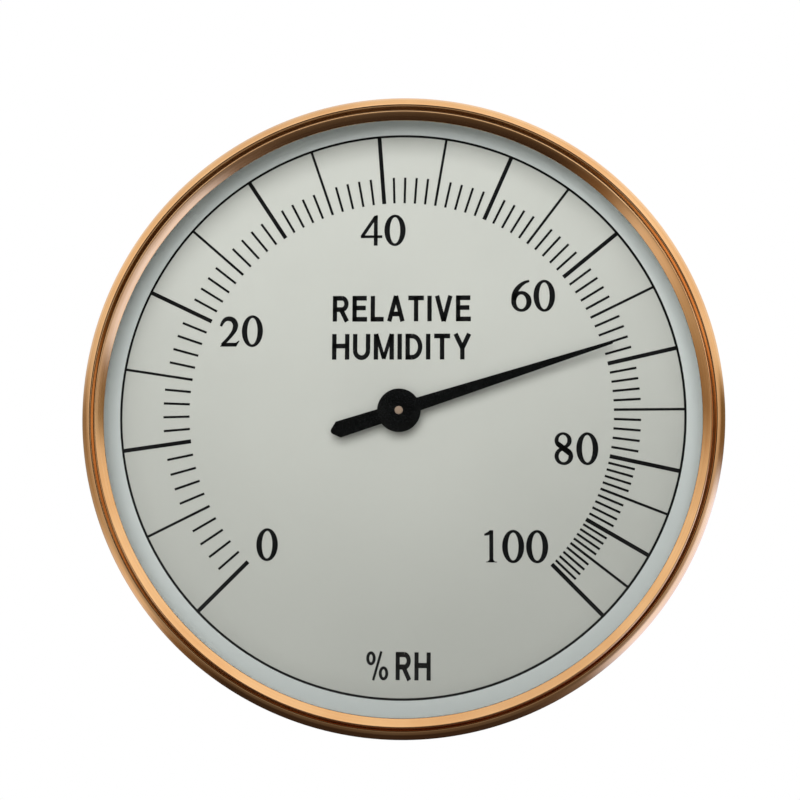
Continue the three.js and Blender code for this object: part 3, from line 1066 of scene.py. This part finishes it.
@dataclass
class Figures:
    """The figures on the dial, in a book face with thick and thin strokes."""

    height: float = 4.95
    advance: float = 0.746  # from one cell to the next, for a figure one unit high
    weight: float = 0.012  # added to each side of a stroke
    arc_steps: int = 8
    centres: tuple[tuple[str, float, float], ...] = (
        ("0", -20.65, -20.95),
        ("20", -25.35, 12.8),
        ("40", -2.8, 29.0),
        ("60", 21.0, 18.3),
        ("80", 27.55, -5.8),
        ("100", 18.15, -20.95),
    )

    def bands(self, part: Stroke | Bowl | Wedge) -> Band:
        """Work out a part's two edges.

        A stroke's edges lie half its width to either side of its centre line. A bowl's edges are
        its two ellipses, centre + (a cos t, b sin t).

        Args:
            part: The part of a figure.

        Returns:
            The left edge, the right edge and whether they close.
        """
        if isinstance(part, Wedge):
            return np.array(part.left), np.array(part.right), False
        if isinstance(part, Bowl):
            t = np.linspace(0, 2 * np.pi, 12 * self.arc_steps, endpoint=False)
            turn = np.column_stack((np.cos(t), np.sin(t)))
            centre = np.array(part.centre)
            inner = centre + np.array(part.shift) + turn * (np.array(part.inner) - self.weight)
            return inner, centre + turn * (np.array(part.outer) + self.weight / 2), True
        knots = np.array(part.knots)
        line = knots if part.straight else smooth_line(knots, self.arc_steps)
        ahead = np.gradient(line[:, :2], axis=0)
        ahead /= np.linalg.norm(ahead, axis=1)[:, None]
        across = np.column_stack((-ahead[:, 1], ahead[:, 0])) * (line[:, 2:] / 2 + self.weight)
        return line[:, :2] + across, line[:, :2] - across, False

    def build(self, dial: Dial, ink: Material) -> None:
        """Print every figure, with its block centred on its place.

        Args:
            dial: The dial that they are printed on.
            ink: Their material.
        """
        for text, x, y in self.centres:
            block: list[Band] = []
            for cell, letter in enumerate(text):
                glyph = GLYPHS[letter]
                bands = [self.bands(part) for part in glyph.parts]
                block += placed(bands, place=(cell * self.advance + glyph.bearing, 0.0))
            every = np.vstack([np.vstack(band[:2]) for band in block])
            middle = (every.min(axis=0) + every.max(axis=0)) / 2
            dial.stamp(f"figure_{text}", placed(block, middle, self.height, (x, y)), ink)


def pen(*knots: Pair, width: float = 0.185) -> Stroke:
    """Draw a straight-sided stroke of even width through (x, y) knots."""
    return Stroke(tuple((x, y, width) for x, y in knots), True)


def bar(y: float, end: float, start: float = 0.0) -> Stroke:
    """Draw a level stroke at a height, from start to end."""
    return pen((start, y), (end, y))


def stem(x: float, low: float = 0.0, high: float = 1.0) -> Stroke:
    """Draw an upright stroke at x, from low to high."""
    return pen((x, low), (x, high))


def bend(centre: Pair, radii: Pair, first: float, last: float) -> Stroke:
    """Draw an even stroke along part of an ellipse: centre + (a cos t, b sin t).

    Args:
        centre: The ellipse's centre.
        radii: Its half widths, a and b.
        first: The angle t at the start, in degrees.
        last: The angle t at the end, in degrees.

    Returns:
        The stroke.
    """
    turns = np.radians(np.linspace(first, last, 17))
    line = [(centre[0] + radii[0] * math.cos(t), centre[1] + radii[1] * math.sin(t)) for t in turns]
    return pen(*line)


TOP, MIDDLE, FOOT = 0.914, 0.53, 0.086  # heights of a letter's bars
STEM = stem(0.086)
LETTERS: dict[str, Glyph] = {
    "A": Glyph((pen((0.08, 0.0), (0.36, 1.0)), pen((0.64, 0.0), (0.36, 1.0)), bar(0.29, 0.54, 0.18))),
    "D": Glyph((STEM, bar(TOP, 0.26), bar(FOOT, 0.26), bend((0.26, 0.5), (0.34, 0.414), 90, -90))),
    "E": Glyph((STEM, bar(TOP, 0.60), bar(MIDDLE, 0.56), bar(FOOT, 0.62))),
    "H": Glyph((STEM, stem(0.62), bar(MIDDLE, 0.66))),
    "I": Glyph((STEM,)),
    "L": Glyph((STEM, bar(FOOT, 0.55))),
    "M": Glyph(
        (
            STEM,
            stem(0.735),
            pen((0.10, 1.0), (0.41, 0.03), width=0.15),
            pen((0.72, 1.0), (0.41, 0.03), width=0.15),
        )
    ),
    "R": Glyph(
        (
            STEM,
            bar(TOP, 0.38),
            bar(0.47, 0.38),
            bend((0.38, 0.692), (0.19, 0.222), 90, -90),
            pen((0.34, 0.47), (0.60, 0.0)),
        )
    ),
    "T": Glyph((bar(TOP, 0.66), stem(0.33, 0.0, 0.95))),
    "U": Glyph(
        (stem(0.086, 1.0, 0.36), stem(0.62, 1.0, 0.36), bend((0.353, 0.36), (0.267, 0.285), 180, 360))
    ),
    "V": Glyph((pen((0.07, 1.0), (0.35, 0.0)), pen((0.63, 1.0), (0.35, 0.0)))),
    "Y": Glyph((pen((0.07, 1.0), (0.35, 0.44)), pen((0.63, 1.0), (0.35, 0.44)), stem(0.35, 0.0, 0.5))),
    "%": Glyph(
        (
            Bowl((0.21, 0.765), (0.21, 0.25), (0.075, 0.14)),
            Bowl((0.77, 0.235), (0.21, 0.25), (0.075, 0.14)),
            pen((0.31, -0.02), (0.67, 1.02), width=0.11),
        )
    ),
    " ": Glyph((pen((0.0, 0.0), (0.03, 0.0), width=0.0),)),
}


@dataclass
class Words:
    """Plain words on the dial: what it measures, and its unit."""

    lines: tuple[tuple[str, str, float, float, float, float], ...] = (
        # name, words, centre x, centre y, width, height of the capitals
        ("word_relative", "RELATIVE", 0.25, 16.35, 21.9, 4.1),
        ("word_humidity", "HUMIDITY", 0.25, 10.25, 22.0, 4.1),
        ("unit", "% RH", 0.03, -39.35, 9.95, 4.25),
    )
    gap: float = 0.15  # between letters one unit high

    def build(self, dial: Dial, ink: Material) -> None:
        """Set each line letter by letter, then fit it to its width and height.

        Args:
            dial: The dial that they are printed on.
            ink: Their material.
        """
        shapes = Figures(weight=0.0)
        for name, words, x, y, width, height in self.lines:
            line: list[Band] = []
            start = 0.0
            for letter in words:
                bands = [shapes.bands(part) for part in LETTERS[letter].parts]
                line += placed(bands, place=(start, 0.0))
                start += self.gap + max(float(edge[:, 0].max()) for band in bands for edge in band[:2])
            span = start - self.gap
            dial.stamp(name, placed(line, (span / 2, 0.5), (width / span, height), (x, y)), ink)


# ---------------------------------------------------------------- pointer


@dataclass
class Needle:
    """The black pointer, its round disc and the arbor's end in the middle of it."""

    outline: tuple[Pair, ...] = (
        # distance along the blade, half width
        (-11.1, 0.16),
        (-10.92, 0.42),
        (-9.9, 1.3),
        (0.0, 1.125),
        (34.6, 0.25),
        (34.8, 0.08),
    )
    disc_radius: float = 3.4
    dome_radius: float = 1.5  # of the flat in the middle of the disc
    bore: float = 0.66
    arbor_radius: float = 0.64
    sheet: float = 0.35
    soften: float = 0.06

    def reading(self) -> float:
        """Find the angle at which the CAD pointer stands, from its point furthest from the axis.

        Returns:
            The angle, anticlockwise from 3 o'clock, in radians.
        """
        mesh = frame["nodes"]["pointer"].data
        points = np.empty(3 * len(mesh.vertices))
        mesh.vertices.foreach_get("co", points)
        points = points.reshape(-1, 3)[:, [0, 2]]
        tip = points[np.argmax(np.hypot(points[:, 0], points[:, 1]))]
        return math.atan2(tip[1], tip[0])

    def build(self, enamel: Material, arbor: Material) -> None:
        """Build the blade with its tail, the disc and the arbor.

        Args:
            enamel: Finish of the blade and the disc.
            arbor: Finish of the arbor.
        """
        low, high = extent("pointer")
        base = low[2]
        blade = Surface("needle")
        x, half = np.array(self.outline).T
        turn = self.reading()
        spin = np.array([[math.cos(turn), math.sin(turn)], [-math.sin(turn), math.cos(turn)]])
        edges = [np.column_stack((x, side * half)) @ spin for side in (1, -1)]
        strip(blade, *edges, base, base + self.sheet, closed=False)
        thing = dress(blade.piece(20.0), enamel)
        soften(thing, self.soften, 30)
        settle(thing, Body.POINTER, "pointer", "pointer")

        corners = [
            Corner(self.bore, base - 0.02, 0.02),
            Corner(self.disc_radius, base - 0.02, 0.1),
            Corner(self.disc_radius, base + 0.42, 0.22),
            Corner(self.dome_radius, high[2] + 0.02, 0.8),
            Corner(self.bore, high[2] + 0.02, 0.05),
        ]
        disc = dress(turned("needle_disc", rounded(corners), 96).piece(), enamel)
        settle(disc, Body.POINTER, "pointer")

        low, high = extent("pointer_arbor")
        corners = [
            Corner(0.0, low[2]),
            Corner(self.arbor_radius, low[2], 0.1),
            Corner(self.arbor_radius, high[2], 0.16),
            Corner(0.0, high[2]),
        ]
        shaft = dress(turned("arbor", rounded(corners, 4), 48).piece(), arbor)
        settle(shaft, Body.POINTER, "steel", "pointer_arbor")


# ---------------------------------------------------------------- case and movement


def fine_copy(node: str, body: Body, slot: str, finish: Material, bevel: float) -> None:
    """Dress a smooth copy of a CAD node: coplanar facets joined, edges softened.

    Args:
        node: The CAD node.
        body: The body it rides on.
        slot: Its material slot.
        finish: Its material.
        bevel: Width of the bevel on its edges, in mm, or 0 for none.
    """
    name = f"fine_{node}"
    mesh = frame["nodes"][node].data.copy()
    mesh.name = name
    work = bmesh.new()
    work.from_mesh(mesh)
    bmesh.ops.remove_doubles(work, verts=work.verts, dist=MERGE)
    bmesh.ops.dissolve_limit(work, angle_limit=math.radians(0.5), verts=work.verts, edges=work.edges)
    work.to_mesh(mesh)
    work.free()
    shade(mesh, 32)
    thing = link(name, mesh)
    if bevel > 0:
        soften(thing, bevel, 40)
    flat = thing.modifiers.new("flat_faces", "WEIGHTED_NORMAL")
    flat.weight = 100
    flat.keep_sharp = True
    settle(dress(thing, finish), body, slot, node)


@dataclass
class Movement:
    """The case and everything behind the dial."""

    bevel: float = 0.08
    finer: tuple[str, ...] = ("hairspring", "hair_bundle", "pointer_arbor")  # built elsewhere

    def build(self, finishes: dict[str, Material]) -> None:
        """Dress every CAD node that no finer piece stands for.

        Args:
            finishes: The material of each slot.
        """
        slots = {entry["node"]: entry["material_slot"] for entry in frame["record"]["subparts"]}
        for body, nodes in frame["record"]["behaviour"]["bodies"].items():
            for node in nodes:
                slot = slots[node]
                if slot in finishes and node not in self.finer:
                    fine_copy(node, Body(body), slot, finishes[slot], self.bevel)


@dataclass
class Fibres:
    """The hairs, drawn out between the regulator peg and the lever, and the hairspring."""

    strands: int = 9
    strand_radius: float = 0.055
    stations: int = 41  # along a hair
    sides: int = 6  # round a hair

    def build(self, hair: Material, steel: Material) -> None:
        """Build the bundle of hairs and dress the hairspring.

        Each hair is a tube about the line from peg to clamp, and it winds half a turn round the
        bundle's middle on the way.

        Args:
            hair: Finish of the hairs.
            steel: Finish of the hairspring.
        """
        low, high = extent("hair_bundle")
        centre = (low + high) / 2
        reach = (high[1] - low[1]) / 2 - self.strand_radius
        bundle = Surface("hairs")
        along = np.linspace(0, 1, self.stations)
        around = 2 * np.pi * np.arange(self.sides) / self.sides
        faces = lattice(self.stations, self.sides, wrap_rows=False, wrap_columns=True)
        near = np.array([[0, 1, 2, 3], [0, 3, 4, 5]])
        far = (near + (self.stations - 1) * self.sides)[:, ::-1]
        for strand in range(self.strands):
            ring = 0.0 if strand == 0 else reach
            turn = 2 * np.pi * strand / (self.strands - 1) + np.pi * along
            y = centre[1] + ring * np.cos(turn)
            h = centre[2] + ring * np.sin(turn)
            x = low[0] + (high[0] - low[0]) * along
            points = np.stack(
                (
                    np.broadcast_to(x[:, None], (self.stations, self.sides)),
                    y[:, None] + self.strand_radius * np.cos(around),
                    h[:, None] + self.strand_radius * np.sin(around),
                ),
                axis=-1,
            )
            bundle.add(points.reshape(-1, 3), np.vstack((faces, near, far)))
        thing = dress(bundle.piece(), hair)
        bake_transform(thing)
        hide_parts("hair_bundle")
        fine_copy("hairspring", Body.POINTER, "steel", steel, 0.0)


# ---------------------------------------------------------------- studio


@dataclass
class Studio:
    """The camera, the soft light and the pale floor."""

    distance: float = 173.8
    azimuth: float = 3.1
    elevation: float = -4.7
    lens: float = 49.74
    roll: float = 0.3
    aim_above: float = 1.79  # how far above the pointer's axis the camera is aimed, in mm
    aim_right: float = 0.06
    floor_drop: float = 0.30
    glass_mirrors: tuple[float, float, float] = (-0.03, -0.98, 0.19)  # the way that the glass faces
    front: Colour = (0.025, 0.025, 0.022)
    walls: tuple[Colour, Colour] = ((0.12, 0.11, 0.10), (1.2, 1.2, 1.17))  # at the foot and the top
    wall_heights: Pair = (-0.6, 0.5)  # upward part of a direction to the foot and to the top
    edge_depths: Pair = (-0.70, -0.48)  # outward part where the walls end and the room begins
    mirror_cone: Pair = (0.86, 0.94)  # cosines where the dim part begins and where it is full
    room: tuple[tuple[float, Colour], ...] = (
        (-180, (0.04, 0.03, 0.025)),
        (-142, (0.04, 0.03, 0.025)),
        (-130, (0.22, 0.16, 0.10)),
        (-121, (0.85, 0.83, 0.8)),
        (-113, (0.80, 0.78, 0.74)),
        (-104, (0.50, 0.46, 0.38)),
        (-86, (0.27, 0.22, 0.15)),
        (-76, (0.80, 0.80, 0.76)),
        (-60, (0.98, 1.0, 0.96)),
        (-25, (0.85, 0.85, 0.82)),
        (0, (0.98, 0.99, 0.95)),
        (30, (1.08, 1.1, 1.08)),
        (76, (1.0, 1.02, 0.98)),
        (83, (0.20, 0.16, 0.08)),
        (94, (0.22, 0.17, 0.10)),
        (101, (1.1, 1.4, 2.2)),
        (134, (1.1, 1.35, 2.1)),
        (145, (0.20, 0.18, 0.18)),
        (158, (0.05, 0.04, 0.035)),
        (180, (0.04, 0.03, 0.025)),
    )

    def camera(self, dial_height: float) -> None:
        """Set the camera in front of the dial, a little below it and to the right.

        Args:
            dial_height: Height of the dial's face out of the wall, in mm.
        """
        a, e = math.radians(self.azimuth), math.radians(self.elevation)
        back = Vector((math.sin(a) * math.cos(e), -math.cos(a) * math.cos(e), math.sin(e)))
        pivot = Vector((0.0, -dial_height * MM, 0.0))
        place = pivot + back * self.distance * MM
        aim = pivot + Vector((self.aim_right, 0.0, self.aim_above)) * MM
        data = bpy.data.cameras.new("camera")
        data.lens = self.lens
        data.sensor_width = 36.0
        data.clip_start = 0.01
        data.clip_end = 20.0
        camera = link("camera", data)
        turn = (aim - place).to_track_quat("-Z", "Y").to_matrix().to_4x4()
        roll = Matrix.Rotation(math.radians(self.roll), 4, "Z")
        camera.matrix_world = Matrix.Translation(place) @ turn @ roll
        bpy.context.scene.camera = camera

    def sky(self) -> None:
        """Light the room by direction, with white behind the object.

        Round the dial's edge the brightness follows `room`, by the angle clockwise from straight
        up. The walls in front brighten upwards, and the part that the glass mirrors is dim.
        """
        world = bpy.data.worlds.new("room")
        bpy.context.scene.world = world
        world.use_nodes = True
        tree = Tree(world.node_tree)
        direction = tree.node("ShaderNodeTexCoord").outputs["Generated"]
        parts = tree.parts(direction)
        ramp = tree.node("ShaderNodeValToRGB")
        elements = ramp.color_ramp.elements
        elements.remove(elements[1])
        for k, (degrees, tone) in enumerate(self.room):
            place = degrees / 360 + 0.5
            stop = elements[0] if k == 0 else elements.new(place)
            stop.position = place
            stop.color = (*tone, 1.0)
        angle = tree.math("ARCTAN2", parts["X"], parts["Z"])
        tree.feed(ramp.inputs["Fac"], tree.spread(angle, (-math.pi, math.pi)))
        facing = tree.node("ShaderNodeVectorMath", operation="DOT_PRODUCT")
        tree.feed(facing.inputs[0], direction)
        tree.feed(facing.inputs[1], self.glass_mirrors)
        beside = tree.spread(parts["Y"], self.edge_depths, curve="SMOOTHSTEP")
        ahead = tree.spread(facing.outputs["Value"], self.mirror_cone, curve="SMOOTHSTEP")
        walls = tree.blend(tree.spread(parts["Z"], self.wall_heights), *self.walls)
        around = tree.blend(beside, walls, ramp.outputs["Color"])
        room = tree.node("ShaderNodeBackground")
        tree.feed(room.inputs["Color"], tree.blend(ahead, around, self.front))
        white = tree.node("ShaderNodeBackground")
        tree.feed(white.inputs["Color"], (1.0, 1.0, 1.0))
        pick = tree.node("ShaderNodeMixShader")
        seen = tree.node("ShaderNodeLightPath").outputs["Is Camera Ray"]
        for target, source in zip(pick.inputs, (seen, room.outputs[0], white.outputs[0])):
            tree.feed(target, source)
        tree.feed(tree.node("ShaderNodeOutputWorld").inputs["Surface"], pick.outputs[0])

    def lamp(self, name: str, place: Sequence[float], size: float, power: float) -> None:
        """Hang a soft square lamp that faces the dial.

        Args:
            name: The lamp's name.
            place: Where it hangs, in metres.
            size: Its side, in metres.
            power: Its power, in watts.
        """
        data = bpy.data.lights.new(name, "AREA")
        data.size = size
        data.energy = power
        lamp = link(name, data)
        lamp.location = place
        lamp.rotation_euler = (-Vector(place)).to_track_quat("-Z", "Y").to_euler()
        lamp.visible_glossy = False

    def floor(self) -> None:
        """Lay the pale floor, which mirrors nothing into the polished ring."""
        floor = Surface("floor")
        points = np.array([[-1.0, 0.0, -0.6], [1.0, 0.0, -0.6], [1.0, 0.0, 1.4], [-1.0, 0.0, 1.4]])
        points[:, 1] = -self.floor_drop
        floor.add(points / MM, np.array([[0, 1, 2, 3]]))
        mesh = floor.piece()
        mesh.visible_glossy = False
        mix = Recipe("pale_floor")
        tone = mix.between(mix.noise(1.5, 2.0))
        mix.set(Base_Color=mix.blend(tone, (0.9, 0.9, 0.9), (0.93, 0.93, 0.93)), Roughness=0.9)
        dress(mesh, mix.material)

    def build(self, dial_height: float) -> None:
        """Set up the camera, the light and the floor.

        Args:
            dial_height: Height of the dial's face out of the wall, in mm.
        """
        self.camera(dial_height)
        self.sky()
        self.lamp("key_above", (-0.02, -0.22, 0.09), 0.18, 0.44)
        self.lamp("fill_front", (0.0, -0.55, 0.0), 0.3, 0.17)
        self.floor()
        bpy.context.scene.view_settings.view_transform = "Standard"


def main() -> None:
    """Build the instrument from the wall outwards, then light it."""
    logging.basicConfig(level=logging.INFO, format="%(message)s")
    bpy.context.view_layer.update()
    finishes = {
        "case": ZINC.material(),
        "movement": BRASS.material(),
        "steel": STEEL.material(),
    }
    ink = INK.material()
    dial = Dial()
    Movement().build(finishes)
    Fibres().build(HAIR.material(), finishes["steel"])
    dial.build_plate(DialPaint().material())
    dial.build_scale(ink)
    Figures().build(dial, ink)
    Words().build(dial, ink)
    Needle().build(BLACK.material(), PEG_BRASS.material())
    Glazing().build(ClearGlass().material(), RUBBER.material(), WHITE.material())
    Bezel().build(Copper().material())
    Studio().build(dial.face)


if __name__ == "__main__":
    main()
